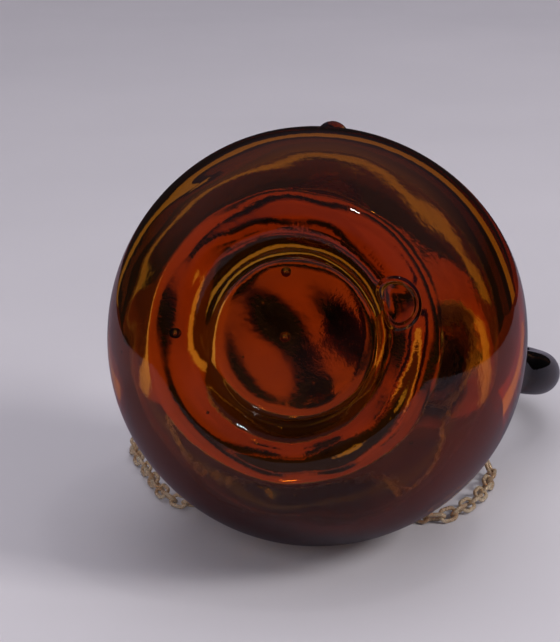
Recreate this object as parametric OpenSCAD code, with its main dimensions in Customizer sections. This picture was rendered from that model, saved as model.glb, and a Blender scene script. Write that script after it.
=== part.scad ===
// Tubulated retort flask in thick amber glass, lying on its side.
// The flask has its own axis, from the foot (down) to the crown (up), and is
// turned onto its side by lay(). +Z is up, the surface it lies on is Z = 0,
// and the foot faces -Y.

/* [Bulb] */
// Outer diameter of the bulb
bulb_d = 100; // [80:1:120]
// Glass thickness of the bulb
bulb_wall = 6; // [4:0.5:7]
// Height from the bulb's centre down to the foot
foot_drop = 42; // [40:0.5:44]
// Radius of the hollow under the foot where it meets the foot ring
punt_r = 24; // [20:1:25]
// Height of the hollow under the foot
punt_h = 11; // [6:1:14]

/* [Neck and beak] */
// Lean of the neck from the bulb's axis
neck_lean = 36.5; // [34:0.5:38]
// Outer radius of the neck where the band sits
neck_r = 8.5; // [7.5:0.5:9]
// Outer radius of the bend
bend_r = 6; // [5.5:0.5:6.5]
// Radius that the bend's centre line follows
bend_sweep_r = 40; // [38:1:42]
// How far past the bulb's axis direction the beak points
beak_lean = 50; // [48:0.5:52]
// Outer radius of the beak's tip
tip_r = 5; // [4.8:0.1:5.2]
// Length of the straight tip that goes into a receiver
tip_l = 15; // [12:1:20]
// Length of the tapered part of the beak
taper_l = 80; // [70:1:85]
// Glass thickness of the bend and the beak
tube_wall = 1.5; // [1.2:0.1:2]

/* [Tubulure and stopper] */
// Tilt of the tubulure from the bulb's axis
tub_tilt = 46; // [44:1:48]
// Turn of the tubulure about the bulb's axis
tub_turn = -107; // [-112:1:-102]
// Outer radius of the tubulure
tub_r = 8.5; // [8:0.5:9.5]
// Height of the tubulure above the bulb
tub_h = 9; // [8:0.5:11]
// Radius of the ground socket at its mouth
socket_r = 6.2; // [5.8:0.1:6.6]
// Radius of the stopper's ball
ball_r = 4.5; // [4:0.5:5.5]

/* [Neck band] */
// Width of the metal band
band_w = 6; // [5:0.5:7]
// Thickness of the metal band
band_t = 1.2; // [1:0.1:1.6]
// Thickness of the cork liner under the band
liner_t = 0.8; // [0.6:0.1:1]
// Distance of the band from the bulb's centre
band_at = 60.5; // [60:0.5:61]
// Radius of the band screw
screw_r = 1.5; // [1.2:0.1:1.6]

/* [Chain] */
// Width across the chain
chain_d = 3.6; // [3:0.2:4]
// Wire radius of the end rings
ring_wire_r = 0.5; // [0.4:0.05:0.6]
// Centre line radius of the end rings
ring_r = 2.6; // [2.4:0.1:3]

/* [Lie] */
// Slope of the flask's axis down towards its crown
lie_tilt = 17; // [15:1:19]
// Roll of the flask about its own axis
lie_roll = 10; // [8:1:12]

/* [Hidden] */
$fn = 96;
glass = [0.62, 0.25, 0.06, 0.8];
dark_glass = [0.2, 0.08, 0.08, 0.9];
gilt = [0.78, 0.55, 0.28];
eps = 0.01;
bulb_r = bulb_d / 2;
cavity_r = bulb_r - bulb_wall;
// Hollow under the foot: a ball that cuts the foot plane at punt_r
punt_ball_r = (punt_r * punt_r + punt_h * punt_h) / (2 * punt_h);
punt_ball_z = -foot_drop + punt_h - punt_ball_r;
punt_wall = 9;
// Pontil scar: a shallow dish where the rod was broken off, beside the punt
scar_at = [21, -12.4, -foot_drop];
scar_r = 5.6;
scar_depth = 0.8;
scar_ball_r = (scar_r * scar_r + scar_depth * scar_depth) / (2 * scar_depth);
// Neck, measured along its own axis from the bulb's centre
flare_r = 15;
flare_start = 46;
flare_end = 55;
bore_start = 40;
seat_end = 66;
neck_end = 72.4;
neck_bore_r = neck_r - 2.1;
bend_bore_r = bend_r - tube_wall - 0.3;
tip_bore_r = tip_r - tube_wall;
neck_dir = [sin(neck_lean), 0, cos(neck_lean)];
bend_start = neck_end * neck_dir;
bend_mid = bend_start + bend_sweep_r * [-cos(neck_lean), 0, sin(neck_lean)];
bend_angle = neck_lean + beak_lean;
// Tubulure and stopper, measured along the tubulure's axis
tub_lip = bulb_r + tub_h;
lip_r = tub_r + 1.5;
lip_h = 2.4;
tub_seat = 0.5;
socket_l = 20;
socket_taper = 0.07;
plug_gap = 0.05;
plug_low = bulb_r - 5;
plug_foot_r = socket_r - plug_gap - socket_taper * (tub_lip - plug_low);
head_gap = 0.4;
head_h = 3;
head_r = 8;
stem_r = 2.6;
ball_up = 14;
ball_at = tub_lip + ball_up;
// Band
liner_r = neck_r + liner_t;
band_r = liner_r + band_t;
ear_gap = 2.4;
ear_t = 1.4;
ear_h = 7.5;
ear_w = 6;
ear_root = 0.6;
screw_up = band_r + 4;
screw_gap = 0.06;
head_screw_r = 3.7;
head_screw_h = 3;
head_play = 0.1;
knurl_r = 0.35;
knurl_step = 20;
shank_past_nut = 1.5;
nut_r = 2.9;
nut_h = 2.2;
// Lugs: an eye on a short post that stands on the band
eye_r = 2;
eye_wire_r = 0.6;
post_r = 1;
post_h = 1.2;
eye_at = band_r + post_h + eye_r;
lug_front_turn = 70;
lug_rear_turn = 160;
ring_slack = 0.7;
ring_reach = ring_slack + ring_r;

// Turns a point or a direction of the flask into the lying position
function spin(v, axis, a) = axis == "x"
  ? [v.x, v.y * cos(a) - v.z * sin(a), v.y * sin(a) + v.z * cos(a)]
  : axis == "y"
  ? [v.x * cos(a) + v.z * sin(a), v.y, -v.x * sin(a) + v.z * cos(a)]
  : [v.x * cos(a) - v.y * sin(a), v.x * sin(a) + v.y * cos(a), v.z];
function lie_dir(v) = spin(spin(v, "z", lie_roll), "x", -90 - lie_tilt);
function lie_pos(p) = lie_dir(p) + [0, 0, bulb_r];
// A direction square to the neck, turned about the neck's axis
function around_neck(turn) = spin([cos(turn), sin(turn), 0], "y", neck_lean);
function eye_pos(turn) = lie_pos(band_at * neck_dir + eye_at * around_neck(turn));
// Twist of an eye about its post that sets the eye's own axis level
function eye_twist(turn) = atan2(-lie_dir(around_neck(turn + 90)).z, lie_dir(neck_dir).z);
function eye_axis(turn) = cos(eye_twist(turn)) * lie_dir(around_neck(turn + 90))
  + sin(eye_twist(turn)) * lie_dir(neck_dir);
// The end rings hang straight down from their eyes
hang = [0, 0, -1];
ring_gap = 0.1;
chain_drop = ring_reach + ring_r + ring_wire_r + ring_gap;
// Centre of the box round the flask without its chain: the model's origin
foot_r = sqrt(bulb_r * bulb_r - foot_drop * foot_drop);
right_x = cos(lie_roll) * (bend_mid.x + bend_sweep_r) + bend_r;
beak_dir = lie_dir([-sin(beak_lean), 0, cos(beak_lean)]);
beak_end = lie_pos(bend_mid + bend_sweep_r * [cos(beak_lean), 0, sin(beak_lean)])
  + (taper_l + tip_l) * beak_dir;
near_y = -foot_drop * cos(lie_tilt) - foot_r * sin(lie_tilt);
far_y = beak_end.y + tip_r * sqrt(1 - beak_dir.y * beak_dir.y);
origin = [(right_x - bulb_r) / 2, (near_y + far_y) / 2, 0];

// The chain's route, from the front lug's ring to the rear lug's ring, with
// its origin under the bulb's centre. It hangs down to the surface, lies round
// behind the bulb's point of contact, and comes back up on the other side.
lie_z = chain_d / 2;
route = [
  eye_pos(lug_front_turn) + chain_drop * hang,
  [37, 39.5, 8], [38.5, 41, 4.5], [40, 38.5, 2.3], [40, 33, lie_z], [39.2, 27.5, lie_z],
  [38, 22, lie_z], [35.5, 16, lie_z], [32.5, 10.5, lie_z], [28, 7, lie_z], [23, 8.5, lie_z],
  [18.5, 13, lie_z], [13.5, 18, lie_z], [7, 21.5, lie_z], [0, 23, lie_z], [-8, 22, lie_z],
  [-15.5, 18, lie_z], [-21.5, 12, lie_z], [-27.5, 6.5, lie_z], [-34.5, 5.5, lie_z],
  [-41, 10, lie_z], [-46, 18, lie_z], [-50.5, 26.5, lie_z], [-55, 34.5, lie_z],
  [-58, 43, lie_z], [-56, 52, lie_z], [-49, 58, lie_z], [-40, 61, lie_z], [-30, 62, lie_z],
  [-20, 61, lie_z], [-10, 59.5, lie_z], [0, 57.5, lie_z], [9, 55.5, lie_z],
  [16.5, 53.5, 2.8], [21.5, 52, 6.5], [24, 51.4, 12],
  eye_pos(lug_rear_turn) + chain_drop * hang];
route_sides = 8;
// Nearly straight up, so that no stretch of the chain is in line with it
upward = [0, 0.001, 1];

module lay() {
  translate([0, 0, bulb_r] - origin)
    rotate([-90 - lie_tilt, 0, 0])
      rotate([0, 0, lie_roll])
        children();
}

module along_neck() {
  rotate([0, neck_lean, 0]) children();
}

module along_tubulure() {
  rotate([0, tub_tilt, tub_turn]) children();
}

// Outline of the blown bulb, cut off at the foot and pushed up under it
module bulb_outline() {
  difference() {
    intersection() {
      circle(r = bulb_r, $fn = 180);
      translate([0, -foot_drop]) square([bulb_r, foot_drop + bulb_r]);
    }
    translate([0, punt_ball_z]) circle(r = punt_ball_r, $fn = 180);
    difference() {
      circle(r = cavity_r, $fn = 180);
      translate([0, punt_ball_z]) circle(r = punt_ball_r + punt_wall, $fn = 180);
    }
  }
}

module bulb() {
  color(glass) lay() difference() {
    rotate_extrude($fn = 180) bulb_outline();
    along_neck() translate([0, 0, bore_start])
      cylinder(h = flare_end - bore_start, r = neck_bore_r);
    along_tubulure() translate([0, 0, bore_start])
      cylinder(h = flare_end - bore_start, r = tub_r - tub_seat);
    translate(scar_at + [0, 0, scar_depth - scar_ball_r]) sphere(r = scar_ball_r, $fn = 180);
  }
}

module neck() {
  steps = 8;
  flare = [for (i = [0:steps]) let (a = 90 * i / steps)
    [neck_r + (flare_r - neck_r) * (1 - sin(a)), flare_end - (flare_end - flare_start) * cos(a)]];
  color(glass) lay() difference() {
    along_neck() difference() {
      union() {
        rotate_extrude()
          polygon(concat([[0, flare_start]], flare, [[neck_r, seat_end], [0, seat_end]]));
        translate([0, 0, seat_end])
          cylinder(h = neck_end - seat_end, r1 = neck_r, r2 = bend_r);
      }
      translate([0, 0, bore_start]) cylinder(h = seat_end - bore_start, r = neck_bore_r);
      translate([0, 0, seat_end - eps])
        cylinder(h = neck_end - seat_end + 2 * eps, r1 = neck_bore_r, r2 = bend_bore_r);
    }
    sphere(r = bulb_r, $fn = 180);
  }
}

module neck_bend() {
  color(dark_glass) lay()
    translate(bend_mid) rotate([90, 0, 0]) rotate([0, 0, -neck_lean])
      rotate_extrude(angle = bend_angle) translate([bend_sweep_r, 0]) difference() {
        circle(r = bend_r, $fn = 48);
        circle(r = bend_bore_r, $fn = 48);
      }
}

module along_beak() {
  translate(bend_mid) rotate([0, -beak_lean, 0]) translate([bend_sweep_r, 0, 0]) children();
}

module beak() {
  color(glass) lay() along_beak() difference() {
    union() {
      cylinder(h = taper_l, r1 = bend_r, r2 = tip_r);
      translate([0, 0, taper_l]) cylinder(h = tip_l, r = tip_r);
    }
    translate([0, 0, -eps])
      cylinder(h = taper_l + 2 * eps, r1 = bend_bore_r, r2 = tip_bore_r);
    translate([0, 0, taper_l]) cylinder(h = tip_l + 1, r = tip_bore_r);
  }
}

module tubulure() {
  color(glass) lay() difference() {
    along_tubulure() difference() {
      union() {
        translate([0, 0, cavity_r]) cylinder(h = tub_lip - cavity_r, r = tub_r);
        translate([0, 0, tub_lip - lip_h]) cylinder(h = lip_h, r = lip_r);
      }
      translate([0, 0, tub_lip - socket_l])
        cylinder(h = socket_l + eps, r1 = socket_r - socket_l * socket_taper, r2 = socket_r);
    }
    sphere(r = bulb_r, $fn = 180);
  }
}

// Solid ground stopper with a flat head, a stem and a ball
module stopper() {
  head_z = tub_lip + head_gap;
  color(dark_glass) lay() along_tubulure() {
    translate([0, 0, plug_low])
      cylinder(h = head_z - plug_low, r1 = plug_foot_r,
        r2 = plug_foot_r + socket_taper * (head_z - plug_low));
    translate([0, 0, head_z]) cylinder(h = head_h, r = head_r);
    translate([0, 0, head_z]) cylinder(h = ball_at - head_z, r = stem_r);
    translate([0, 0, ball_at]) sphere(r = ball_r, $fn = 64);
  }
}

// A split ring: an outer and an inner radius, a width, and a gap
module split_ring(outer, inner, width, gap) {
  difference() {
    cylinder(h = width, r = outer, center = true);
    cylinder(h = width + 1, r = inner, center = true);
    translate([0, -outer, 0]) cube([gap, 2 * outer, width + 2], center = true);
  }
}

module neck_liner() {
  color("tan") lay() along_neck() translate([0, 0, band_at])
    split_ring(liner_r, neck_r, band_w + 1, ear_gap);
}

// Split brass band whose two ears are drawn together by the screw
module neck_band() {
  color(gilt) lay() along_neck() translate([0, 0, band_at]) {
    split_ring(band_r, liner_r, band_w, ear_gap);
    for (side = [-1, 1])
      difference() {
        translate([side * (ear_gap + ear_t) / 2, -band_r - ear_h / 2 + ear_root, 0])
          cube([ear_t, ear_h, ear_w], center = true);
        translate([0, -screw_up, 0]) rotate([0, 90, 0])
          cylinder(h = 3 * ear_w, r = screw_r + screw_gap, center = true);
        cylinder(h = band_w + 1, r = liner_r + band_t / 2, center = true);
      }
  }
}

module at_screw() {
  lay() along_neck() translate([0, -screw_up, band_at]) rotate([0, 90, 0]) children();
}

// Knurled thumbscrew through both ears
module band_screw() {
  outer = ear_gap / 2 + ear_t;
  color(gilt) at_screw() {
    translate([0, 0, -outer - head_play - head_screw_h]) {
      cylinder(h = head_screw_h, r = head_screw_r);
      cylinder(h = head_screw_h + 2 * outer + nut_h + shank_past_nut, r = screw_r);
    }
    for (a = [0:knurl_step:360 - knurl_step])
      rotate([0, 0, a])
        translate([head_screw_r, 0, -outer - head_play - head_screw_h / 2])
          cylinder(h = head_screw_h, r = knurl_r, center = true, $fn = 16);
  }
}

module band_nut() {
  outer = ear_gap / 2 + ear_t;
  color(gilt) at_screw() translate([0, 0, outer]) difference() {
    cylinder(h = nut_h, r = nut_r, $fn = 6);
    translate([0, 0, -1]) cylinder(h = nut_h + 2, r = screw_r + screw_gap);
  }
}

// Ring of round wire lying in the XY plane
module wire_ring(r, wire) {
  rotate_extrude($fn = 48) translate([r, 0]) circle(r = wire, $fn = 24);
}

// An eye on a post, with the eye turned so that its axis lies level
module lug(turn) {
  color(gilt) lay() along_neck() translate([0, 0, band_at]) rotate([0, 0, turn])
    difference() {
      rotate([eye_twist(turn), 0, 0]) union() {
        translate([eye_at, 0, 0]) rotate([90, 0, 0]) wire_ring(eye_r, eye_wire_r);
        rotate([0, 90, 0]) cylinder(h = eye_at - eye_r, r = post_r, $fn = 32);
      }
      cylinder(h = band_w * 2, r = band_r, center = true);
    }
}

// A ring whose wire passes through a lug's eye and hangs from it
module end_ring(turn) {
  n = cross(hang, eye_axis(turn));
  color(gilt) translate(eye_pos(turn) + ring_reach * hang - origin)
    rotate([0, acos(n.z), atan2(n.y, n.x)])
      wire_ring(ring_r, ring_wire_r);
}

// Sweeps a tube of flat sides along a list of points
module sweep(points, r, sides) {
  last = len(points) - 1;
  ways = [for (i = [0:last]) let (
    a = points[max(i - 1, 0)], b = points[min(i + 1, last)]) (b - a) / norm(b - a)];
  rings = [for (i = [0:last]) let (
    s = cross(ways[i], upward), across = s / norm(s), up = cross(across, ways[i]))
    for (k = [0:sides - 1]) let (q = 360 * (k + 0.5) / sides)
      points[i] + r * (cos(q) * across + sin(q) * up)];
  walls = [for (i = [0:last - 1]) for (k = [0:sides - 1])
    [i * sides + k, i * sides + (k + 1) % sides,
      (i + 1) * sides + (k + 1) % sides, (i + 1) * sides + k]];
  start = [for (k = [0:sides - 1]) sides - 1 - k];
  end = [for (k = [0:sides - 1]) last * sides + k];
  polyhedron(concat(rings), concat(walls, [start, end]), convexity = 10);
}

module neck_chain() {
  color(gilt) translate(-origin) sweep(route, chain_d / 2, route_sides);
}

bulb();
neck();
neck_bend();
beak();
tubulure();
stopper();
neck_liner();
neck_band();
band_screw();
band_nut();
lug(lug_front_turn);  // lug_front
lug(lug_rear_turn);  // lug_rear
end_ring(lug_front_turn);  // end_ring_front
end_ring(lug_rear_turn);  // end_ring_rear
neck_chain();
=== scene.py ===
import math

import bpy
import numpy as np
from mathutils import Matrix, Vector


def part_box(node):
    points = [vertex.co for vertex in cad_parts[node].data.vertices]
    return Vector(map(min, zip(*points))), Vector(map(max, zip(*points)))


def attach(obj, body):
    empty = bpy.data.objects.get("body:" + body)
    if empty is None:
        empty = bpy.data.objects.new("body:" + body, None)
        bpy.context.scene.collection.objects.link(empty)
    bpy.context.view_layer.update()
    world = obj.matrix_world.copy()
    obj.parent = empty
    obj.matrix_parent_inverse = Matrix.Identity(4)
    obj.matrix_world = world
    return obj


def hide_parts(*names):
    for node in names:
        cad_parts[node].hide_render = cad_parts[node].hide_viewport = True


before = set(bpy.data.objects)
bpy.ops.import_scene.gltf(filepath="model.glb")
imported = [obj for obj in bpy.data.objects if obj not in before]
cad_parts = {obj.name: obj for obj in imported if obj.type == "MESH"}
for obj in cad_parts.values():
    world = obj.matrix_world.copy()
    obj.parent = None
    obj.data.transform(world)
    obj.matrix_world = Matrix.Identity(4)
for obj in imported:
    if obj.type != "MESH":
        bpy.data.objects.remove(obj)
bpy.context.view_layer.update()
MM = 0.001

# ------------------------------------------------------------------ sizes of the flask, in mm
# In its own frame: origin at the bulb's centre, +Z along the bulb's axis to its crown, and the neck
# leaning to +X
BULB_R = 50.0
WALL = 6.0
FOOT = 42.0
PUNT_EDGE_R = 24.0
PUNT_H = 11.0
PUNT_WALL = 9.0
LEAN = math.radians(36.5)
SWEEP_R = 40.0
BEAK_LEAN = math.radians(50.0)
NECK_FROM = 30.0
NECK_R = 8.5
NECK_BORE_R = 6.4
BEND_R = 6.0
BEND_BORE_R = 4.2
TIP_R = 5.0
TIP_BORE_R = 3.5
NECK_END = 72.4
# The neck narrows over this stretch, outside and inside
NARROWS = (66, 76)
BORE_NARROWS = (62, 76)
TAPER_L = 80.0
TIP_L = 15.0
PAST_TIP = 20
# The tip swells a little at its very end
TIP_SWELL = 0.35
TIP_SWELL_L = 4.0
TUB_TILT = math.radians(46.0)
TUB_TURN = math.radians(-107.0)
TUB_R = 8.5
TUB_FROM = 40.0
TUB_LIP = 59.0
LIP_WIRE_R = 1.4
LIP_OUT = 0.2
SOCKET_R = 6.2
SOCKET_TAPER = 0.07
SOCKET_FROM = 38.0
# The pontil scar: a shallow dish in the foot ring
SCAR = np.array([21.0, -12.4, -FOOT])
SCAR_R = 4.6
SCAR_DEEP = 0.75
SCAR_BELOW = -30
# A steeper step inside the punt's edge
STEP_R = 19.0
STEP_H = 10.5
LIE_TILT = math.radians(17.0)
LIE_ROLL = math.radians(10.0)

NECK_DIR = np.array([math.sin(LEAN), 0, math.cos(LEAN)])
BEAK_DIR = np.array([-math.sin(BEAK_LEAN), 0, math.cos(BEAK_LEAN)])
BEND_MID = NECK_END * NECK_DIR + SWEEP_R * np.array([-math.cos(LEAN), 0, math.sin(LEAN)])
BEAK_START = BEND_MID + SWEEP_R * np.array([math.cos(BEAK_LEAN), 0, math.sin(BEAK_LEAN)])
BEND_L = SWEEP_R * (LEAN + BEAK_LEAN)
TIP_AT = NECK_END + BEND_L + TAPER_L + TIP_L
TIP = BEAK_START + (TAPER_L + TIP_L) * BEAK_DIR
TUB_DIR = np.array([
    math.sin(TUB_TILT) * math.cos(TUB_TURN),
    math.sin(TUB_TILT) * math.sin(TUB_TURN),
    math.cos(TUB_TILT)])
PUNT_R = (PUNT_EDGE_R ** 2 + PUNT_H ** 2) / (2 * PUNT_H)
PUNT_Z = PUNT_H - FOOT - PUNT_R
# The blown hollow and the punt sit a little off the bulb's axis, so the wall is thicker on one side
HOLLOW_AT = np.array([-0.8, 0.7, 0.3])
PUNT_AT = [0.4, -0.3, PUNT_Z]

bulb_low, bulb_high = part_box("bulb")
BULB_AT = Vector((
    (bulb_low[0] + bulb_high[0]) / 2, bulb_high[1] - BULB_R * MM, bulb_high[2] - BULB_R * MM))
LAY = (Matrix.Translation(BULB_AT)
       @ Matrix.Rotation(-math.pi / 2 - LIE_TILT, 4, "X")
       @ Matrix.Rotation(LIE_ROLL, 4, "Z")
       @ Matrix.Diagonal((MM, MM, MM, 1)))


# ------------------------------------------------------------------ camera
CAMERA_TURN = math.radians(9.4)
CAMERA_RISE = math.radians(18.0)
CAMERA_AWAY = 0.42
LENS = 98.5
CLIP_START = 0.01
# The bulb stands right of and below the middle of the view, by these angles
AIM_RIGHT = math.radians(-1.207)
AIM_UP = math.radians(0.49)
# From the camera to the bulb's centre
VIEW_AXIS = Vector((
    -math.sin(CAMERA_TURN) * math.cos(CAMERA_RISE),
    math.cos(CAMERA_TURN) * math.cos(CAMERA_RISE),
    -math.sin(CAMERA_RISE)))


def add_camera():
    data = bpy.data.cameras.new("camera")
    data.lens = LENS
    data.clip_start = CLIP_START
    camera = bpy.data.objects.new("camera", data)
    bpy.context.collection.objects.link(camera)
    turn = VIEW_AXIS.to_track_quat("-Z", "Y").to_matrix().to_4x4()
    aim = Matrix.Rotation(-AIM_RIGHT, 4, "Y") @ Matrix.Rotation(AIM_UP, 4, "X")
    camera.matrix_world = Matrix.Translation(BULB_AT - CAMERA_AWAY * VIEW_AXIS) @ turn @ aim
    bpy.context.scene.camera = camera
    return camera


camera = add_camera()


# ------------------------------------------------------------------ small helpers
# An outline's point this near to the axis, in mm, is a pole
AT_AXIS = 1e-6


def mesh_piece(name, verts, faces, smooth=True):
    """A mesh object from points in metres in the row frame."""
    mesh = bpy.data.meshes.new(name)
    mesh.from_pydata([tuple(v) for v in verts], [], [tuple(f) for f in faces])
    mesh.validate()
    if smooth:
        mesh.shade_smooth()
    else:
        mesh.shade_flat()
    piece = bpy.data.objects.new(name, mesh)
    bpy.context.collection.objects.link(piece)
    return piece


def laid(points, place=LAY):
    """Points of the flask's own frame, in mm, as points of the row frame, in metres."""
    m = np.array(place)
    return np.asarray(points, float) @ m[:3, :3].T + m[:3, 3]


def circle(r, z, steps):
    """Points of a level circle round Z."""
    turns = [2 * math.pi * k / steps for k in range(steps)]
    return [(r * math.cos(a), r * math.sin(a), z) for a in turns]


def lathe(profile, steps):
    """Verts and faces of an outline of (radius, height) turned about Z. Radius 0 ends in a pole."""
    verts = []
    rows = []
    for r, z in profile:
        if r < AT_AXIS:
            rows.append([len(verts)] * steps)
            verts.append((0, 0, z))
        else:
            rows.append(list(range(len(verts), len(verts) + steps)))
            verts += circle(r, z, steps)
    faces = []
    for a, b in zip(rows, rows[1:]):
        for k in range(steps):
            j = (k + 1) % steps
            corners = [a[k], a[j], b[j], b[k]]
            face = [v for i, v in enumerate(corners) if v not in corners[:i]]
            if len(face) > 2:
                faces.append(face)
    return verts, faces


def arc(cx, cz, r, start, end, steps):
    """Points of a round stretch of an outline, angles in degrees."""
    turns = [math.radians(start + (end - start) * i / steps) for i in range(steps + 1)]
    return [(cx + r * math.cos(a), cz + r * math.sin(a)) for a in turns]


# ------------------------------------------------------------------ chain, in mm
# The route of part.scad, with its origin on the surface right under the bulb's centre
CHAIN_D = 3.6
BAND_AT = 60.5
BAND_R = 10.5
LUG_REACH = 3.2
EYE_AT = BAND_R + LUG_REACH
RING_R = 2.6
RING_WIRE_R = 0.5
EYE_EDGE = 0.7
SPARE = 0.1
CHAIN_DROP = EYE_EDGE + 2 * RING_R + RING_WIRE_R + SPARE
EYE_FRONT = math.radians(70)
EYE_REAR = math.radians(160)
# Where the chain lies on the surface, its height is half its width
LIES = CHAIN_D / 2
CHAIN_ROUTE = [
    [37, 39.5, 8], [38.5, 41, 4.5], [40, 38.5, 2.3], [40, 33, LIES], [39.2, 27.5, LIES],
    [38, 22, LIES], [35.5, 16, LIES], [32.5, 10.5, LIES], [28, 7, LIES], [23, 8.5, LIES],
    [18.5, 13, LIES], [13.5, 18, LIES], [7, 21.5, LIES], [0, 23, LIES], [-8, 22, LIES],
    [-15.5, 18, LIES], [-21.5, 12, LIES], [-27.5, 6.5, LIES], [-34.5, 5.5, LIES],
    [-41, 10, LIES], [-46, 18, LIES], [-50.5, 26.5, LIES], [-55, 34.5, LIES],
    [-58, 43, LIES], [-56, 52, LIES], [-49, 58, LIES], [-40, 61, LIES], [-30, 62, LIES],
    [-20, 61, LIES], [-10, 59.5, LIES], [0, 57.5, LIES], [9, 55.5, LIES],
    [16.5, 53.5, 2.8], [21.5, 52, 6.5], [24, 51.4, 12]]
CURVE_STEPS = 24
LINK_L = 6.0
LINK_W = 4.0
LINK_WIRE = 0.5
LINK_PITCH = 4.05
LINK_AROUND = 28
LINK_SIDES = 10
LINK_ROLL = 45
LINK_LOOSE = 9
CHAIN_SEED = 12
# Above this, a link stands so steeply that its side can't be worked out from the vertical
STEEP = 0.9


def eye_end(turn):
    """The chain's end below a lug's eye, in mm, in the chain's frame."""
    out = np.array([
        math.cos(turn) * math.cos(LEAN),
        math.sin(turn),
        -math.cos(turn) * math.sin(LEAN)])
    p = laid([BAND_AT * NECK_DIR + EYE_AT * out])[0]
    return (p - np.array([BULB_AT.x, BULB_AT.y, 0])) / MM - [0, 0, CHAIN_DROP]


def chain_route():
    ground = np.array([BULB_AT.x, BULB_AT.y, 0])
    return np.array([eye_end(EYE_FRONT)] + CHAIN_ROUTE + [eye_end(EYE_REAR)]) * MM + ground


def smooth_line(points, step):
    """A Catmull-Rom curve through the points, as points `step` apart, and its length."""
    p = np.vstack([2 * points[0] - points[1], points, 2 * points[-1] - points[-2]])
    fine = []
    u = np.linspace(0, 1, CURVE_STEPS, endpoint=False)[:, None]
    for a, b, c, d in zip(p, p[1:], p[2:], p[3:]):
        square = (2 * a - 5 * b + 4 * c - d) * u ** 2
        cube = (3 * b - a - 3 * c + d) * u ** 3
        fine.append(0.5 * (2 * b + (c - a) * u + square + cube))
    line = np.vstack(fine + [points[-1:]])
    run = np.r_[0, np.cumsum(np.linalg.norm(np.diff(line, axis=0), axis=1))]
    count = int(round(run[-1] / step))
    at = np.linspace(0, run[-1], count + 1)
    return np.stack([np.interp(at, run, line[:, i]) for i in range(3)], 1), run[-1]


def link_shape():
    """One oval link of round wire, its length along X and flat in XY, in mm."""
    bow = LINK_W / 2 - LINK_WIRE
    straight = LINK_L / 2 - LINK_WIRE - bow
    verts = []
    faces = []
    for k in range(LINK_AROUND):
        a = 2 * math.pi * (k + 0.5) / LINK_AROUND
        x = math.copysign(straight, math.cos(a))
        after = (k + 1) % LINK_AROUND
        for j in range(LINK_SIDES):
            q = 2 * math.pi * j / LINK_SIDES
            r = bow + LINK_WIRE * math.cos(q)
            verts.append((x + r * math.cos(a), r * math.sin(a), LINK_WIRE * math.sin(q)))
            beyond = (j + 1) % LINK_SIDES
            faces.append([row * LINK_SIDES + side for row, side in (
                (k, j), (after, j), (after, beyond), (k, beyond))])
    return np.array(verts), faces


def chain_links(line):
    """Every link of the chain along the line, each turned a quarter from the last."""
    rng = np.random.default_rng(CHAIN_SEED)
    shape, faces = link_shape()
    verts = []
    all_faces = []
    for i, (a, b) in enumerate(zip(line, line[1:])):
        x = (b - a) / np.linalg.norm(b - a)
        side = np.cross([0, 0, 1.0] if abs(x[2]) < STEEP else [0, 1.0, 0], x)
        side /= np.linalg.norm(side)
        up = np.cross(x, side)
        quarter = LINK_ROLL if i % 2 else -LINK_ROLL
        roll = math.radians(quarter + rng.uniform(-LINK_LOOSE, LINK_LOOSE))
        y = math.cos(roll) * side + math.sin(roll) * up
        turn = np.stack([x, y, np.cross(x, y)])
        verts.append(shape @ turn * MM + (a + b) / 2)
        all_faces += [[v + i * len(shape) for v in face] for face in faces]
    return np.vstack(verts), all_faces


def add_chain():
    line, length = smooth_line(chain_route(), LINK_PITCH * MM)
    verts, faces = chain_links(line)
    piece = mesh_piece("chain_links", verts, faces)
    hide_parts("neck_chain")
    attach(piece, "flask")
    return piece


chain = add_chain()


# ------------------------------------------------------------------ the blown glass, as one surface
# Waves of the blowing: height in mm, size in mm, seed
WAVES_BULB = (0.18, 60, 3)
WAVES_PUNT = (0.25, 22, 5)
WAVES_TUBE = (0.08, 25, 11)
WAVES_HOLLOW = (0.16, 34, 7)
WAVES_HOLLOW_FINE = (0.05, 12, 8)
WAVES_PUNT_WALL = (0.3, 18, 9)
WAVE_COUNT = 7
WAVE_SPREAD = (0.7, 1.5)
WAVE_SHIFT = 6.28
# The hollow is even round the bulb's middle and wavy towards its two ends: |z| in mm
EVEN_TO = (12, 28)
# Each joint between two parts of the glass is rounded over this many mm
ROUND_FOOT = 3.0
ROUND_PUNT = 3.5
ROUND_STEP = 4.0
ROUND_LIP = 0.8
ROUND_TUB = 3.0
ROUND_END = 1.0
ROUND_NECK = 6.0
ROUND_INSIDE = 4.0
ROUND_SOCKET = 0.5
ROUND_BORE = 1.0
ROUND_EDGE = 0.5
# The mesh: its grid step, its box, and the blocks it is worked out in
GRID_MM = 0.8
GRID_LOW = (-53, -53, -45)
GRID_HIGH = (61, 53, 179)
CORNERS = np.array([[i, j, k] for i in (0, 1) for j in (0, 1) for k in (0, 1)])
BLOCK = 8
BLOCK_REACH = 0.87
BLOCK_SPARE = 4.0
BLOCKS_AT_ONCE = 400
FAR = 9.0
SLOPE_STEP = 0.02
LEAST_SLOPE = 0.2
LONGEST_STEP = 0.5
RELAX = 0.6
PARTED = 0.2
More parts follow.
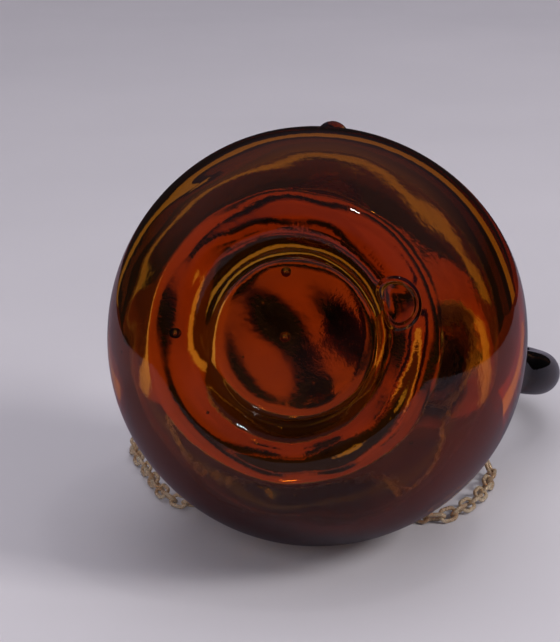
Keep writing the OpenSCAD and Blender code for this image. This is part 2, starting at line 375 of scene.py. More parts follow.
# Seeds: bubbles in the wall, as (x, y, depth under the outside, radius), seen from the foot, in mm
SEEDS = [
    (-5.4, -13.9, 1.7, 1.2), (-2.6, 0.4, 1.7, 1.2), (-25.0, 4.5, 2.8, 1.2), (-9.0, -6.0, 1.6, 0.35),
    (6.0, 9.0, 2.8, 0.4), (12.0, -9.0, 1.9, 0.3), (-14.0, 20.0, 2.0, 0.35), (30.0, 16.0, 2.6, 0.45),
    (-33.0, -14.0, 2.3, 0.4), (-20.0, -27.0, 3.0, 0.5), (8.0, 33.0, 2.4, 0.4), (27.0, -24.0, 2.7, 0.45),
    (36.0, 2.0, 2.2, 0.3), (-38.0, 12.0, 2.4, 0.35), (3.0, -17.0, 2.0, 0.3), (-11.0, 7.0, 3.2, 0.3)]
SEED_ROWS = 8
SEED_STEPS = 14
SEED_FLAT = 0.9
SEED_SEARCH = np.arange(-52.0, -10.0, 0.1)


def smin(a, b, k):
    """The smaller of two distances, blended over k."""
    h = np.clip(0.5 + 0.5 * (b - a) / k, 0, 1)
    return b + (a - b) * h - k * h * (1 - h)


def smax(a, b, k):
    return -smin(-a, -b, k)


def ease(t, start, end):
    u = np.clip((t - start) / (end - start), 0, 1)
    return u * u * (3 - 2 * u)


def waves(p, height, size, seed):
    """Slow random waves with features of about `size` mm."""
    rng = np.random.default_rng(seed)
    total = 0
    for _ in range(WAVE_COUNT):
        k = rng.normal(size=3)
        k *= 2 * math.pi / (size * rng.uniform(*WAVE_SPREAD)) / np.linalg.norm(k)
        total = total + np.sin(p @ k + rng.uniform(0, WAVE_SHIFT))
    return height * (total / math.sqrt(WAVE_COUNT))


def along_tube(p):
    """For each point, its distance from the neck's centre line and how far along that it is."""
    t1 = np.clip(p @ NECK_DIR, NECK_FROM, NECK_END)
    d1 = np.linalg.norm(p - t1[:, None] * NECK_DIR, axis=1)
    qx = p[:, 0] - BEND_MID[0]
    qz = p[:, 2] - BEND_MID[2]
    a = np.clip(np.arctan2(qz, qx), -LEAN, BEAK_LEAN)
    d2 = np.sqrt((qx - SWEEP_R * np.cos(a)) ** 2 + (qz - SWEEP_R * np.sin(a)) ** 2 + p[:, 1] ** 2)
    t2 = NECK_END + SWEEP_R * (a + LEAN)
    s3 = np.clip((p - BEAK_START) @ BEAK_DIR, 0, TAPER_L + TIP_L + PAST_TIP)
    d3 = np.linalg.norm(p - BEAK_START - s3[:, None] * BEAK_DIR, axis=1)
    t3 = NECK_END + BEND_L + s3
    t = np.where(d1 <= d2, t1, t2)
    d = np.minimum(d1, d2)
    return np.minimum(d, d3), np.where(d3 < d, t3, t)


def taper(t):
    return np.clip((t - NECK_END - BEND_L) / TAPER_L, 0, 1)


def tube_radius(t):
    """Outer radius of the neck, the bend and the beak, t mm along them."""
    r = NECK_R - (NECK_R - BEND_R) * ease(t, *NARROWS) - (BEND_R - TIP_R) * taper(t)
    return r + TIP_SWELL * ease(t, TIP_AT - TIP_SWELL_L, TIP_AT)


def bore_radius(t):
    narrowing = (NECK_BORE_R - BEND_BORE_R) * ease(t, *BORE_NARROWS)
    return NECK_BORE_R - narrowing - (BEND_BORE_R - TIP_BORE_R) * taper(t)


def bulb_outside(p, punt):
    """The bulb with its foot cut flat, the punt pushed up into it and the pontil scar's dish."""
    ball = np.linalg.norm(p, axis=1) - BULB_R - waves(p, *WAVES_BULB)
    shape = smax(ball, -FOOT - p[:, 2], ROUND_FOOT)
    shape = smax(shape, PUNT_R - punt + waves(p, *WAVES_PUNT), ROUND_PUNT)
    step = smax(np.hypot(p[:, 0], p[:, 1]) - STEP_R, p[:, 2] + FOOT - STEP_H, ROUND_STEP)
    shape = smax(shape, -step, ROUND_STEP)
    from_scar = np.hypot(p[:, 0] - SCAR[0], p[:, 1] - SCAR[1])
    foot_side = p[:, 2] < SCAR_BELOW
    return shape + foot_side * SCAR_DEEP * np.exp(-(from_scar / SCAR_R) ** 4)


def tubulure_outside(s, rho):
    stub = smax(smax(rho - TUB_R, s - TUB_LIP, ROUND_END), TUB_FROM - s, ROUND_END)
    out = np.maximum(rho - TUB_R - LIP_OUT, 0)
    lip = np.hypot(out, s - (TUB_LIP - LIP_WIRE_R)) - LIP_WIRE_R
    return smin(stub, lip, ROUND_LIP)


def outside(p, d, t, punt, s, rho):
    """Distance from the outer surface, below zero inside it."""
    shape = smin(bulb_outside(p, punt), tubulure_outside(s, rho), ROUND_TUB)
    tube = smax(d - tube_radius(t) - waves(p, *WAVES_TUBE), (p - TIP) @ BEAK_DIR, ROUND_END)
    return smin(shape, tube, ROUND_NECK)


def hollow(p, d, t, punt, s, rho):
    """Distance from the inner surface, below zero in the hollow."""
    shape = np.linalg.norm(p - HOLLOW_AT, axis=1) - (BULB_R - WALL)
    uneven = ease(np.abs(p[:, 2]), *EVEN_TO)
    shape = shape - uneven * (waves(p, *WAVES_HOLLOW) + waves(p, *WAVES_HOLLOW_FINE))
    shape = smax(shape, PUNT_R + PUNT_WALL - punt - waves(p, *WAVES_PUNT_WALL), ROUND_INSIDE)
    shape = smin(shape, d - bore_radius(t), ROUND_INSIDE)
    socket = smax(rho - (SOCKET_R - SOCKET_TAPER * (TUB_LIP - s)), SOCKET_FROM - s, ROUND_SOCKET)
    return smin(shape, socket, ROUND_BORE)


def glass(p):
    """Distance from the glass of the flask, below zero inside it."""
    d, t = along_tube(p)
    punt = np.linalg.norm(p - PUNT_AT, axis=1)
    s = p @ TUB_DIR
    rho = np.linalg.norm(p - s[:, None] * TUB_DIR, axis=1)
    place = (p, d, t, punt, s, rho)
    return smax(outside(*place), -hollow(*place), ROUND_EDGE)


def slope(f, p):
    g = np.empty_like(p)
    for i in range(3):
        step = np.zeros(3)
        step[i] = SLOPE_STEP
        g[:, i] = (f(p + step) - f(p - step)) / (2 * SLOPE_STEP)
    return g


def settle(f, p, rounds):
    """Moves points onto the surface f = 0."""
    for _ in range(rounds):
        g = slope(f, p)
        step = np.clip(f(p) / np.maximum((g * g).sum(1), LEAST_SLOPE), -LONGEST_STEP, LONGEST_STEP)
        p = p - step[:, None] * g
    return p


def lattice(*ticks):
    """Every point with one tick from each axis."""
    return np.stack(np.meshgrid(*ticks, indexing="ij"), -1).reshape(-1, 3)


def sampled(f, low, n, h):
    """f on a grid of n + 1 points, worked out only in the blocks that the surface may cross."""
    grid = np.full(n + 1, FAR, np.float32)
    starts = lattice(*[np.arange(0, k, BLOCK) for k in n])
    near = np.abs(f(low + (starts + BLOCK / 2) * h)) < BLOCK * h * BLOCK_REACH + BLOCK_SPARE
    offsets = lattice(*[np.arange(BLOCK + 1)] * 3)
    live = starts[near]
    for i in range(0, len(live), BLOCKS_AT_ONCE):
        part = (live[i:i + BLOCKS_AT_ONCE, None, :] + offsets[None]).reshape(-1, 3)
        grid[tuple(part.T)] = f(low + part * h)
    return grid


def crossings(grid, cells):
    """The middle of the places where the surface crosses each cell's edges, in cells."""
    total = np.zeros((len(cells), 3))
    hits = np.zeros(len(cells))
    for a in CORNERS:
        for axis in np.flatnonzero(a == 0):
            b = a.copy()
            b[axis] = 1
            va = grid[tuple((cells + a).T)]
            vb = grid[tuple((cells + b).T)]
            cross = (va < 0) != (vb < 0)
            u = np.where(cross, va / np.where(cross, va - vb, 1), 0)
            total += (a + u[:, None] * (b - a)) * cross[:, None]
            hits += cross
    return total / hits[:, None]


def crossed_edges(inside, n, axis, number):
    """A face for each grid edge along one axis that the surface crosses."""
    one = [slice(1, k) for k in n]
    one[axis] = slice(0, n[axis])
    two = list(one)
    two[axis] = slice(1, n[axis] + 1)
    a = inside[tuple(one)]
    at = np.argwhere(a != inside[tuple(two)])
    flip = a[tuple(at.T)]
    at = at + [0 if i == axis else 1 for i in range(3)]
    unit = np.eye(3, dtype=int)
    e1 = unit[(axis + 1) % 3]
    e2 = unit[(axis + 2) % 3]
    quads = np.stack([number[tuple(r.T)] for r in (at - e1 - e2, at - e2, at, at - e1)], 1)
    return np.where(flip[:, None], quads, quads[:, ::-1])


def skin(f, low, high, h):
    """A closed mesh of quads over f = 0, with one vertex in each grid cell that it crosses."""
    low = np.asarray(low, float)
    n = np.ceil((np.asarray(high) - low) / (h * BLOCK)).astype(int) * BLOCK
    grid = sampled(f, low, n, h)
    inside = grid < 0
    count = sum(inside[i:n[0] + i, j:n[1] + j, k:n[2] + k].astype(np.int8) for i, j, k in CORNERS)
    cells = np.argwhere((count > 0) & (count < len(CORNERS)))
    number = np.full(n, -1, np.int64)
    number[tuple(cells.T)] = np.arange(len(cells))
    verts = low + (cells + crossings(grid, cells)) * h
    return verts, np.concatenate([crossed_edges(inside, n, axis, number) for axis in range(3)])


def beside(quad, u, v):
    """Whether u and v are next to each other round the face."""
    quad = list(quad)
    return u in quad and v in quad and (quad.index(u) - quad.index(v)) % 4 in (1, 3)


def fan_from(face, left, v, quads, pinched):
    """The faces round v that hang together with this one, without crossing a pinched edge."""
    fan = [face]
    left.discard(face)
    for face in fan:
        around = [u for u in quads[face] if beside(quads[face], u, v)
                  and (min(u, v), max(u, v)) not in pinched]
        near = sorted(f for f in left if any(beside(quads[f], u, v) for u in around))
        fan += near
        left -= set(near)
    return fan


def unpinch(verts, quads):
    """Parts two sheets of the skin that share an edge: each gets its own vertex at one end of it."""
    edges = np.sort(np.stack([quads, np.roll(quads, -1, 1)], -1).reshape(-1, 2), 1)
    pairs, count = np.unique(edges, axis=0, return_counts=True)
    pinched = {tuple(pair) for pair in pairs[count > 2]}
    verts = list(verts)
    parted = quads.copy()
    for v in sorted({pair[0] for pair in pinched}):
        at = verts[v]
        left = set(np.flatnonzero((quads == v).any(1)))
        slot = v
        while left:
            fan = fan_from(min(left), left, v, quads, pinched)
            middle = np.mean([verts[u] for f in fan for u in quads[f] if u != v], 0)
            moved = at * (1 - PARTED) + middle * PARTED
            if slot == v:
                verts[v] = moved
            else:
                parted[fan] = np.where(quads[fan] == v, slot, parted[fan])
                verts.append(moved)
            slot = len(verts)
    return np.array(verts), parted


def relax(f, verts, quads, rounds):
    """Evens out the mesh along the surface."""
    a = quads.ravel()
    b = np.roll(quads, -1, 1).ravel()
    n = len(verts)
    degree = (np.bincount(a, minlength=n) + np.bincount(b, minlength=n))[:, None]
    for _ in range(rounds):
        total = np.stack([
            np.bincount(a, verts[b, i], n) + np.bincount(b, verts[a, i], n) for i in range(3)], 1)
        verts = settle(f, verts * (1 - RELAX) + RELAX * total / degree, 1)
    return verts


def seed_at(x, y, depth):
    """A place in the wall, `depth` above the first glass that is met from below."""
    column = np.stack([np.full_like(SEED_SEARCH, x), np.full_like(SEED_SEARCH, y), SEED_SEARCH], 1)
    return column[np.argmax(glass(column) < 0)] + [0, 0, depth]


def with_seeds(verts, quads):
    """Adds each seed as a small hollow, its faces turned inwards."""
    turns = [math.pi * i / SEED_ROWS for i in range(1, SEED_ROWS)]
    profile = [(0, -1)] + [(math.sin(a), -math.cos(a)) for a in turns] + [(0, 1)]
    ball, faces = lathe(profile, SEED_STEPS)
    all_verts = [verts]
    all_faces = [tuple(q) for q in quads]
    base = len(verts)
    for x, y, depth, r in SEEDS:
        all_verts.append(np.array(ball) * [r, r, r * SEED_FLAT] + seed_at(x, y, depth))
        all_faces += [[v + base for v in face[::-1]] for face in faces]
        base += len(ball)
    return np.vstack(all_verts), all_faces


def add_flask():
    h = GRID_MM
    verts, quads = unpinch(*skin(glass, GRID_LOW, GRID_HIGH, h))
    verts = settle(glass, verts, 2)
    verts = relax(glass, verts, quads, 3)
    verts = settle(glass, verts, 2)
    verts, faces = with_seeds(verts, quads)
    piece = mesh_piece("blown_glass", laid(verts), faces)
    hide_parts("bulb", "neck", "neck_bend", "beak", "tubulure")
    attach(piece, "flask")
    return piece


flask = add_flask()


# ------------------------------------------------------------------ stopper: one turned, solid piece
# Heights are from the bulb's centre along the tubulure, in mm
STOPPER_FOOT = 45.0
STOPPER_HEAD = TUB_LIP + 0.4
STOPPER_BALL = TUB_LIP + 14
STOPPER_FOOT_R = SOCKET_R - 0.05 - SOCKET_TAPER * (TUB_LIP - STOPPER_FOOT)
STOPPER_BALL_R = 4.5
STOPPER_STEPS = 56
FOOT_CORNER_R = 0.8
SEAT_FROM = STOPPER_FOOT + 1.5
SEAT_TO = STOPPER_HEAD - 0.6
SEAT_STEPS = 12
# The head's rounded edge, as arcs: (radius and height over the head of the arc's middle, its radius,
# start, end in degrees)
HEAD_ARCS = [(7.0, 1.0, 1.0, -90, 0), (6.6, 2.0, 1.4, 0, 80)]
BALL_ARC = (-52, 90)
# The stem between head and ball: radius, and height over the head
STEM = [(4.6, 3.5), (3.4, 4.2), (2.7, 5.4), (2.5, 6.8), (2.6, 7.8)]


def seat_radius(z):
    """Radius of the ground taper at height z."""
    return STOPPER_FOOT_R + SOCKET_TAPER * (z - STOPPER_FOOT)


def add_stopper():
    head = STOPPER_HEAD
    corner = FOOT_CORNER_R
    profile = [(0, STOPPER_FOOT), (STOPPER_FOOT_R - 1.5 * corner, STOPPER_FOOT)]
    profile += arc(STOPPER_FOOT_R - corner, STOPPER_FOOT + corner, corner, -90, -5, 5)
    profile += [(seat_radius(z), z) for z in np.linspace(SEAT_FROM, SEAT_TO, SEAT_STEPS)]
    profile += [(seat_radius(head), head)]
    for r, z, corner, start, end in HEAD_ARCS:
        profile += arc(r, head + z, corner, start, end, 6)
    profile += [(r, head + z) for r, z in STEM]
    profile += arc(0, STOPPER_BALL, STOPPER_BALL_R, *BALL_ARC, 18)
    profile[-1] = (0, STOPPER_BALL + STOPPER_BALL_R)
    verts, faces = lathe(profile, STOPPER_STEPS)
    turn = Vector(TUB_DIR).to_track_quat("Z", "Y").to_matrix()
    piece = mesh_piece("ground_stopper", laid(np.array(verts) @ np.array(turn).T), faces)
    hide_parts("stopper")
    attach(piece, "stopper")
    return piece


stopper = add_stopper()


# ------------------------------------------------------------------ materials
# Amber of the glass, and how much of it a metre of glass takes up
AMBER = (0.94, 0.70, 0.06)
AMBER_DENSITY = 290.0
CLEAR = (1.0, 1.0, 1.0)
NEAR_BLACK = (0.030, 0.012, 0.010)
GLASS_IOR = 1.52
# Distance from the bulb's centre, in m, over which the glass turns dark
DARK_FROM = 0.066
DARK_TO = 0.080
# Ripples inside the bulb: features per metre, height in mm, and where they end towards the outside
# and towards the sides
RIPPLE_FINE = 500.0
RIPPLE_SLOW = 120.0
RIPPLE_MM = 0.12
INSIDE_R = (0.0462, 0.0474)
SMOOTH_SIDES = (0.018, 0.030)
# The pontil scar's raised rim: its height in mm, and the radii where it rises and falls, in m
RIM_MM = 0.5
RIM_RISE = (0.0044, 0.0051)
RIM_FALL = (0.0053, 0.0062)
# A ragged dark streak in the far side of the bulb, painted into the glass's colour as painted shade
# seen through the foot:
# place from the bulb's centre, half sizes and raggedness, in m
PAINTED_SHADE_AT = Vector((-0.0063, 0.0444, -0.0140))
PAINTED_SHADE_SIZE = (0.0027, 0.012, 0.0052)
PAINTED_SHADE_RAGGED = 0.004
PAINTED_SHADE_EDGE = (0.8, 1.15)
# The stopper's foot is ground dull up to here, in m from the bulb's centre
GROUND_END = (0.0590, 0.0594)
GROUND_ROUGH = 0.42
POLISHED_ROUGH = 0.02
STOPPER_TINT = (0.35, 0.30, 0.33)
# Brass: bright and dull colour, roughness, how metallic
GILT = ((0.88, 0.64, 0.33), (0.66, 0.44, 0.21), 0.26, 0.8)
CHAIN_METAL = ((0.98, 0.80, 0.55), (0.66, 0.41, 0.23), 0.24, 0.65)
# Features per metre of its worn patches, its grain and its pits, and their depth in m
BRASS_PATCHES = 260.0
BRASS_GRAIN = 700.0
BRASS_PITS = 1500.0
PIT_DEPTH = 0.00005
# Cork: its two tones, grain and pores per metre, depth of the pores in m
CORK_DARK = (0.24, 0.13, 0.06)
CORK_PALE = (0.58, 0.40, 0.23)
CORK_GRAIN = 1500.0
CORK_PORES = 1400.0
PORE_DEPTH = 0.0002


class Nodes:
    """Short hand for a material's node tree."""

    def __init__(self, name):
        self.material = bpy.data.materials.new(name)
        self.material.use_nodes = True
        self.tree = self.material.node_tree
        self.shader = self.tree.nodes["Principled BSDF"]
        self.output = self.tree.nodes["Material Output"]
        self.place = self.tree.nodes.new("ShaderNodeTexCoord").outputs["Object"]

    def plug(self, value, socket):
        """Links an output to a socket, or sets the socket to a plain value."""
        if hasattr(value, "is_linked"):
            self.tree.links.new(value, socket)
        else:
            socket.default_value = value

    def new(self, kind, **inputs):
        node = self.tree.nodes.new("ShaderNode" + kind)
        for key, value in inputs.items():
            self.plug(value, node.inputs[key.replace("_", " ")])
        return node

    def set(self, **inputs):
        for key, value in inputs.items():
            self.shader.inputs[key.replace("_", " ")].default_value = value

    def link(self, out, name):
        self.tree.links.new(out, self.shader.inputs[name])

    def maths(self, operation, *values):
        node = self.tree.nodes.new("ShaderNodeMath")
        node.operation = operation
        for value, socket in zip(values, node.inputs):
            self.plug(value, socket)
        return node.outputs[0]

    def vector(self, operation, output, *values):
        """One step of vector maths, of which the output "Vector" or "Value" is used."""
        node = self.tree.nodes.new("ShaderNodeVectorMath")
        node.operation = operation
        for value, socket in zip(values, node.inputs):
            self.plug(value, socket)
        return node.outputs[output]

    def distance(self, point):
        return self.vector("DISTANCE", "Value", self.place, point)

    def noise(self, scale, detail=3.0, rough=0.55, output="Fac"):
        node = self.new("TexNoise", Vector=self.place, Scale=scale, Detail=detail, Roughness=rough)
        return node.outputs[output]

    def moved(self, scale, detail, rough, amount):
        """Places shifted at random by up to `amount`, for ragged edges."""
        noise = self.noise(scale, detail, rough, "Color")
        return self.vector("MULTIPLY_ADD", "Vector", noise, [amount] * 3, self.place)

    def reach(self, place, middle, sizes):
        """Distance from a blob's middle, 1 at its edge. A size of None has no end."""
        scale = [1 / w if w else 0 for w in sizes]
        mapping = self.new("Mapping", Vector=place)
        mapping.inputs["Scale"].default_value = scale
        mapping.inputs["Location"].default_value = [-c * k for c, k in zip(middle, scale)]
        return self.vector("LENGTH", "Value", mapping.outputs["Vector"])

    def between(self, fac, low, high, a=0.35, b=0.65):
        """A colour between two, where fac goes from a to b."""
        node = self.new("ValToRGB", Fac=fac)
        ramp = node.color_ramp
        ramp.elements[0].position = a
        ramp.elements[1].position = b
        ramp.elements[0].color = (*low, 1)
        ramp.elements[1].color = (*high, 1)
        return node.outputs["Color"]

    def number(self, fac, low=0.0, high=1.0, span=(0.0, 1.0), smooth=False):
        """A number from low to high, where fac goes over the span."""
        start, end = span
        node = self.new("MapRange", Value=fac, From_Min=start, From_Max=end, To_Min=low, To_Max=high)
        if smooth:
            node.interpolation_type = "SMOOTHSTEP"
        return node.outputs["Result"]

    def absorb(self, colour, density):
        volume = self.tree.nodes.new("ShaderNodeVolumeAbsorption")
        volume.inputs["Color"].default_value = (*colour, 1)
        volume.inputs["Density"].default_value = density
        self.tree.links.new(volume.outputs["Volume"], self.output.inputs["Volume"])

    def bump(self, height, strength, distance):
        node = self.new("Bump", Height=height, Strength=strength, Distance=distance)
        self.link(node.outputs["Normal"], "Normal")


def scar_rim(n):
    """Height of the raised rim round the pontil scar, 0 to 1."""
    away = n.distance(LAY @ Vector(SCAR))
    rise = n.number(away, 0.0, 1.0, RIM_RISE, smooth=True)
    fall = n.number(away, 1.0, 0.0, RIM_FALL, smooth=True)
    return n.maths("MULTIPLY", rise, fall)


def ripples(n, from_middle):
    """Ripples of the blowing, inside the bulb and on its two ends, 0 to 1."""
    inside = n.number(from_middle, 1.0, 0.0, INSIDE_R)
    along = n.vector("DOT_PRODUCT", "Value", n.place, VIEW_AXIS)
    depth = n.maths("ABSOLUTE", n.maths("SUBTRACT", along, VIEW_AXIS.dot(BULB_AT)))
    ends = n.number(depth, 0.0, 1.0, SMOOTH_SIDES)
    fine = n.noise(RIPPLE_FINE, 4.0, 0.6)
    slow = n.noise(RIPPLE_SLOW, 1.0)
    mixed = n.new("Mix", Factor=0.35)
    n.plug(slow, mixed.inputs[2])
    n.plug(fine, mixed.inputs[3])
    return n.maths("MULTIPLY", n.maths("MULTIPLY", mixed.outputs[0], inside), ends)


def flask_glass():
    """Amber glass, near black past the neck, with a ragged streak of painted shade in the bulb, rippled
    inside where it was blown.
    """
    n = Nodes("amber_glass")
    from_middle = n.distance(BULB_AT)
    past_neck = n.number(from_middle, 0.0, 1.0, (DARK_FROM, DARK_TO))
    # Painted shade: a ragged dark streak in the bulb's far side, darkening the glass's colour
    ragged = n.moved(500.0, 5.0, 0.7, PAINTED_SHADE_RAGGED)
    middle = BULB_AT + PAINTED_SHADE_AT + Vector([PAINTED_SHADE_RAGGED / 2] * 3)
    streak = n.number(n.reach(ragged, middle, PAINTED_SHADE_SIZE), 1.0, 0.0, PAINTED_SHADE_EDGE)
    dark = n.maths("MAXIMUM", past_neck, streak)
    n.link(n.between(dark, CLEAR, NEAR_BLACK, 0.0, 1.0), "Base Color")
    n.set(Transmission_Weight=1.0, IOR=GLASS_IOR)
    n.link(n.number(n.noise(90.0), 0.0, 0.02), "Roughness")
    waviness = n.maths("MULTIPLY", ripples(n, from_middle), RIPPLE_MM)
    rim = n.maths("MULTIPLY", scar_rim(n), RIM_MM)
    n.bump(n.maths("ADD", waviness, rim), 1.0, MM)
    n.absorb(AMBER, AMBER_DENSITY)
    return n.material


def stopper_material():
    """The same amber glass, thicker, with a ground foot."""
    n = Nodes("stopper_glass")
    n.set(Base_Color=(*STOPPER_TINT, 1), Transmission_Weight=1.0, IOR=GLASS_IOR)
    n.link(n.number(n.distance(BULB_AT), GROUND_ROUGH, POLISHED_ROUGH, GROUND_END), "Roughness")
    n.bump(n.noise(300.0, 2.0), 0.05, 0.0002)
    n.absorb(AMBER, AMBER_DENSITY)
    return n.material


def brass_material(name, bright, dull, rough, metal):
    """Worn brass: duller and rougher in patches, with fine pits."""
    n = Nodes(name)
    n.set(Metallic=metal)
    n.link(n.between(n.noise(BRASS_PATCHES, 5.0), dull, bright, 0.32, 0.62), "Base Color")
    n.link(n.number(n.noise(BRASS_GRAIN), rough - 0.06, rough + 0.12), "Roughness")
    n.bump(n.noise(BRASS_PITS, 2.0), 0.05, PIT_DEPTH)
    return n.material


def cork_material():
    n = Nodes("pressed_cork")
    n.link(n.between(n.noise(CORK_GRAIN, 5.0), CORK_DARK, CORK_PALE), "Base Color")
    n.set(Roughness=0.85)
    pores = n.new("TexVoronoi", Vector=n.place, Scale=CORK_PORES).outputs["Distance"]
    n.bump(pores, 0.4, PORE_DEPTH)
    return n.material


def paint(piece, material):
    piece.data.materials.clear()
    piece.data.materials.append(material)


def paint_object():
    gilt = brass_material("gilt_brass", *GILT)
    chain_metal = brass_material("chain_brass", *CHAIN_METAL)
    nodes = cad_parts
    paint(flask, flask_glass())
    paint(stopper, stopper_material())
    paint(chain, chain_metal)
    for node in ("neck_band", "band_screw", "band_nut", "lug_front", "lug_rear"):
        paint(nodes[node], gilt)
    for node in ("end_ring_front", "end_ring_rear"):
        paint(nodes[node], chain_metal)
    paint(nodes["neck_liner"], cork_material())


paint_object()


# ------------------------------------------------------------------ stage, in m
# Areas are (x0, y0, x1, y1). The camera sees a wide pale floor. The glass and the metal see a darker
# room instead, with painted shade, painted shadow and painted light on its floor, which lies in layers
# just over the floor
FLOOR_R = 1.5
WALL_H = 1.0
LAYER = 0.0001
AROUND = (-0.30, -0.26, 0.30, 0.30)
POOL_AREA = (-0.105, 0.0, 0.105, 0.31)
GLOW_RIGHT = (0.066, 0.0, 0.086, 0.16)
GLOW_LEFT = (-0.104, 0.0, -0.084, 0.16)
# What shines off the glass (a dimmed copy of the floor: painted shade in the reflections), what is seen
# through it (the flask's painted shadow round it, and pale glow strips beside it), and the painted
# amber light behind it
PAINTED_SHADE_FLOOR_SHINE = (0.19, 0.175, 0.215)
PAINTED_FLOOR_SHADOW = (0.075, 0.026, 0.014)
GLOW = (0.60, 0.46, 0.36)
POOL = (0.30, 0.055, 0.012)
POOL_DIM = (0.13, 0.022, 0.006)
SHADE = (0.006, 0.003, 0.003)
# Shades in the amber light: (right of the bulb, behind it, half width, half depth), in m
SHADES = [(0.034, 0.15, 0.03, 0.09), (0.058, 0.14, 0.006, 0.045), (-0.02, 0.28, 0.06, 0.05)]
SHADE_RAGGED = 0.03
SHADE_EDGE = (0.85, 1.1)
# A pale ring far behind the bulb, between these angles from the view axis
HAZE_STEPS = 64
HAZE = (1.0, 0.96, 0.98)
HAZE_GLOW = 0.30
HAZE_AWAY = 0.8
HAZE_INNER = math.radians(27.0)
HAZE_OUTER = math.radians(34.0)
# The dark room, and its paler ceiling
ROOM_LOW = (0.010, 0.009, 0.010)
ROOM_HIGH = (0.085, 0.070, 0.10)
ROOM_LOW_TO = 0.15
ROOM_HIGH_FROM = 0.6
# Lights that the glass and the metal don't see: (name, place, towards, width, height, watts, colour)
SOFT_LIGHTS = [
    ("sky", (0, -0.25, 1.4), (0, -0.05, 0), 1.5, 1.5, 6.9, (0.98, 0.97, 1.0)),
    ("back", (0, 0.9, 1.4), (0, 0.9, 0), 1.3, 1.3, 5.9, (0.98, 0.97, 1.0)),
    ("front", (-0.2, -1.3, 0.7), BULB_AT, 0.8, 0.8, 5.8, (1.0, 0.98, 1.0)),
    ("side", (1.0, -0.31, 0.78), BULB_AT, 0.38, 0.38, 8.6, (1.0, 0.97, 0.95))]
# The one lamp that they do see
LAMP_FROM_BULB = Vector((0.276, -0.073, 0.958))
LAMP_SIZE = (0.045, 0.08)
LAMP_WATTS = 0.4
LAMP_COLOUR = (1.0, 0.98, 0.96)
# The cloth's two tones, its broad patches and folds: features per metre, depth of the folds in m
CLOTH_DARK = (0.56, 0.545, 0.585)
CLOTH_PALE = (0.61, 0.59, 0.63)
CLOTH_PATCHES = 2.5
CLOTH_FOLDS = 9.0
FOLD_DEPTH = 0.01


def floor_material():
    n = Nodes("cloth")
    n.link(n.between(n.noise(CLOTH_PATCHES), CLOTH_DARK, CLOTH_PALE, 0.3, 0.7), "Base Color")
    n.set(Roughness=0.95)
    n.bump(n.noise(CLOTH_FOLDS, 2.0), 0.25, FOLD_DEPTH)
    return n.material


def pool_material():
    """Amber light on the floor behind the flask, uneven, with ragged shades in it."""
    n = Nodes("amber_pool")
    ragged = n.moved(60.0, 6.0, 0.5, SHADE_RAGGED)
    light = None
    for right, behind, w, h in SHADES:
        middle = BULB_AT + Vector((right, behind, 0)) + Vector([SHADE_RAGGED / 2] * 3)
        edge = n.number(n.reach(ragged, middle, (w, h, None)), 0.0, 1.0, SHADE_EDGE)
        light = edge if light is None else n.maths("MULTIPLY", light, edge)
    uneven = n.between(n.noise(7.0, 6.0), POOL_DIM, POOL, 0.3, 0.5)
    mixed = n.new("MixRGB", Fac=light, Color1=(*SHADE, 1), Color2=uneven)
    n.link(mixed.outputs["Color"], "Base Color")
    n.set(Roughness=1.0)
    return n.material


def plain(name, colour, glow=0.0):
    """A dull material, or one that gives light."""
    n = Nodes(name)
    n.set(Base_Color=(*colour, 1), Roughness=1.0, Specular_IOR_Level=0.0)
    if glow:
        n.set(Base_Color=(0, 0, 0, 1), Emission_Color=(*colour, 1), Emission_Strength=glow)
    return n.material


def card(name, verts, faces, material, *seen_by):
    """A flat part of the stage: seen by the camera, by what shines ("shine") or through the glass."""
    piece = mesh_piece(name, verts, faces, smooth=False)
    paint(piece, material)
    piece.visible_glossy = "shine" in seen_by
    piece.visible_transmission = "glass" in seen_by
    piece.visible_camera = piece.visible_diffuse = piece.visible_shadow = "camera" in seen_by


def flat(name, x0, y0, x1, y1, layer, material, *seen_by):
    z = layer * LAYER
    card(name, [(x0, y0, z), (x1, y0, z), (x1, y1, z), (x0, y1, z)], [range(4)], material, *seen_by)


def add_floor():
    cloth = floor_material()
    far = FLOOR_R
    flat("floor", -far, -far, far, far, 0, cloth, "camera")
    ends = [(-far, -far), (far, -far), (far, far), (-far, far)]
    for i, (a, b) in enumerate(zip(ends, ends[1:] + ends[:1])):
        wall = [(*a, 0), (*b, 0), (*b, WALL_H), (*a, WALL_H)]
        card("wall_%d" % i, wall, [range(4)], cloth, "camera")


def add_dark_room():
    """What the glass and the metal see in place of the pale floor, with painted shade, painted shadow
    and painted light.
    """
    # Painted shade: a dimmed copy of the floor, which only reflections see
    flat("painted_shade_shine_floor", *AROUND, 1, plain("painted_shade_shine_floor", PAINTED_SHADE_FLOOR_SHINE), "shine")
    # Painted shadow: the flask's dark, amber shadow round it, which only the glass sees through
    flat("painted_shadow_floor", *AROUND, 2, plain("painted_shadow_floor", PAINTED_FLOOR_SHADOW), "glass")
    flat("pool", *POOL_AREA, 3, pool_material(), "glass")
    glow = plain("glow", GLOW)
    flat("glow_right", *GLOW_RIGHT, 4, glow, "glass")
    flat("glow_left", *GLOW_LEFT, 4, glow, "glass")


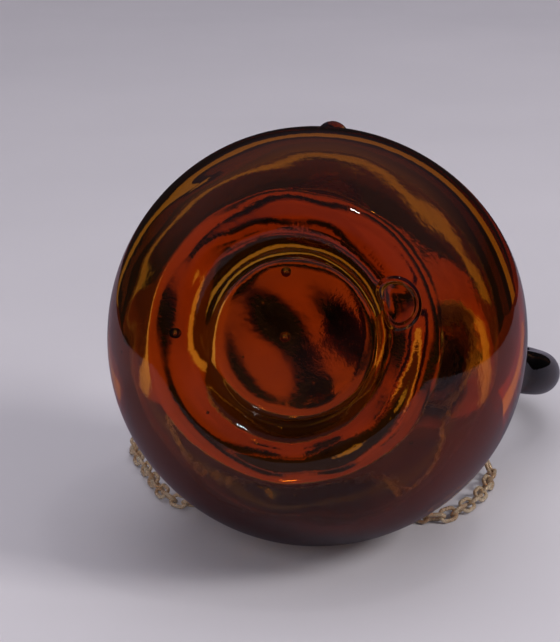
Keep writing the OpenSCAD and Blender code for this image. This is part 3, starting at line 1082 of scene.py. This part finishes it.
def add_haze():
    """A pale ring far behind the bulb, which lights the edge of the glass from the back."""
    turn = VIEW_AXIS.to_track_quat("Z", "Y").to_matrix()
    verts = []
    for angle in (HAZE_INNER, HAZE_OUTER):
        level = circle(HAZE_AWAY * math.tan(angle), HAZE_AWAY, HAZE_STEPS)
        verts += [BULB_AT + turn @ Vector(v) for v in level]
    faces = []
    for k in range(HAZE_STEPS):
        j = (k + 1) % HAZE_STEPS
        faces.append((k, HAZE_STEPS + k, HAZE_STEPS + j, j))
    card("haze", verts, faces, plain("haze", HAZE, HAZE_GLOW), "glass")


def add_world():
    world = bpy.data.worlds.new("studio")
    world.use_nodes = True
    tree = world.node_tree
    where = tree.nodes.new("ShaderNodeTexCoord").outputs["Generated"]
    split = tree.nodes.new("ShaderNodeSeparateXYZ")
    ramp = tree.nodes.new("ShaderNodeValToRGB")
    low, high = ramp.color_ramp.elements
    low.position, low.color = ROOM_LOW_TO, (*ROOM_LOW, 1)
    high.position, high.color = ROOM_HIGH_FROM, (*ROOM_HIGH, 1)
    tree.links.new(where, split.inputs[0])
    tree.links.new(split.outputs["Z"], ramp.inputs["Fac"])
    tree.links.new(ramp.outputs["Color"], tree.nodes["Background"].inputs["Color"])
    bpy.context.scene.world = world


def add_light(name, at, to, width, height, watts, colour, seen=False):
    """A soft light. Unless it is seen, it lights the floor but leaves no mark on glass and metal."""
    data = bpy.data.lights.new(name, "AREA")
    data.energy = watts
    data.color = colour
    data.shape = "RECTANGLE"
    data.size = width
    data.size_y = height
    light = bpy.data.objects.new(name, data)
    light.location = at
    light.rotation_euler = (Vector(to) - Vector(at)).to_track_quat("-Z", "Y").to_euler()
    light.visible_glossy = light.visible_transmission = seen
    light.visible_camera = False
    bpy.context.collection.objects.link(light)


def add_lights():
    for light in SOFT_LIGHTS:
        add_light(*light)
    add_light("lamp", BULB_AT + LAMP_FROM_BULB, BULB_AT, *LAMP_SIZE, LAMP_WATTS, LAMP_COLOUR, seen=True)


bpy.context.scene.view_settings.view_transform = "Standard"
add_floor()
add_dark_room()
add_haze()
add_world()
add_lights()
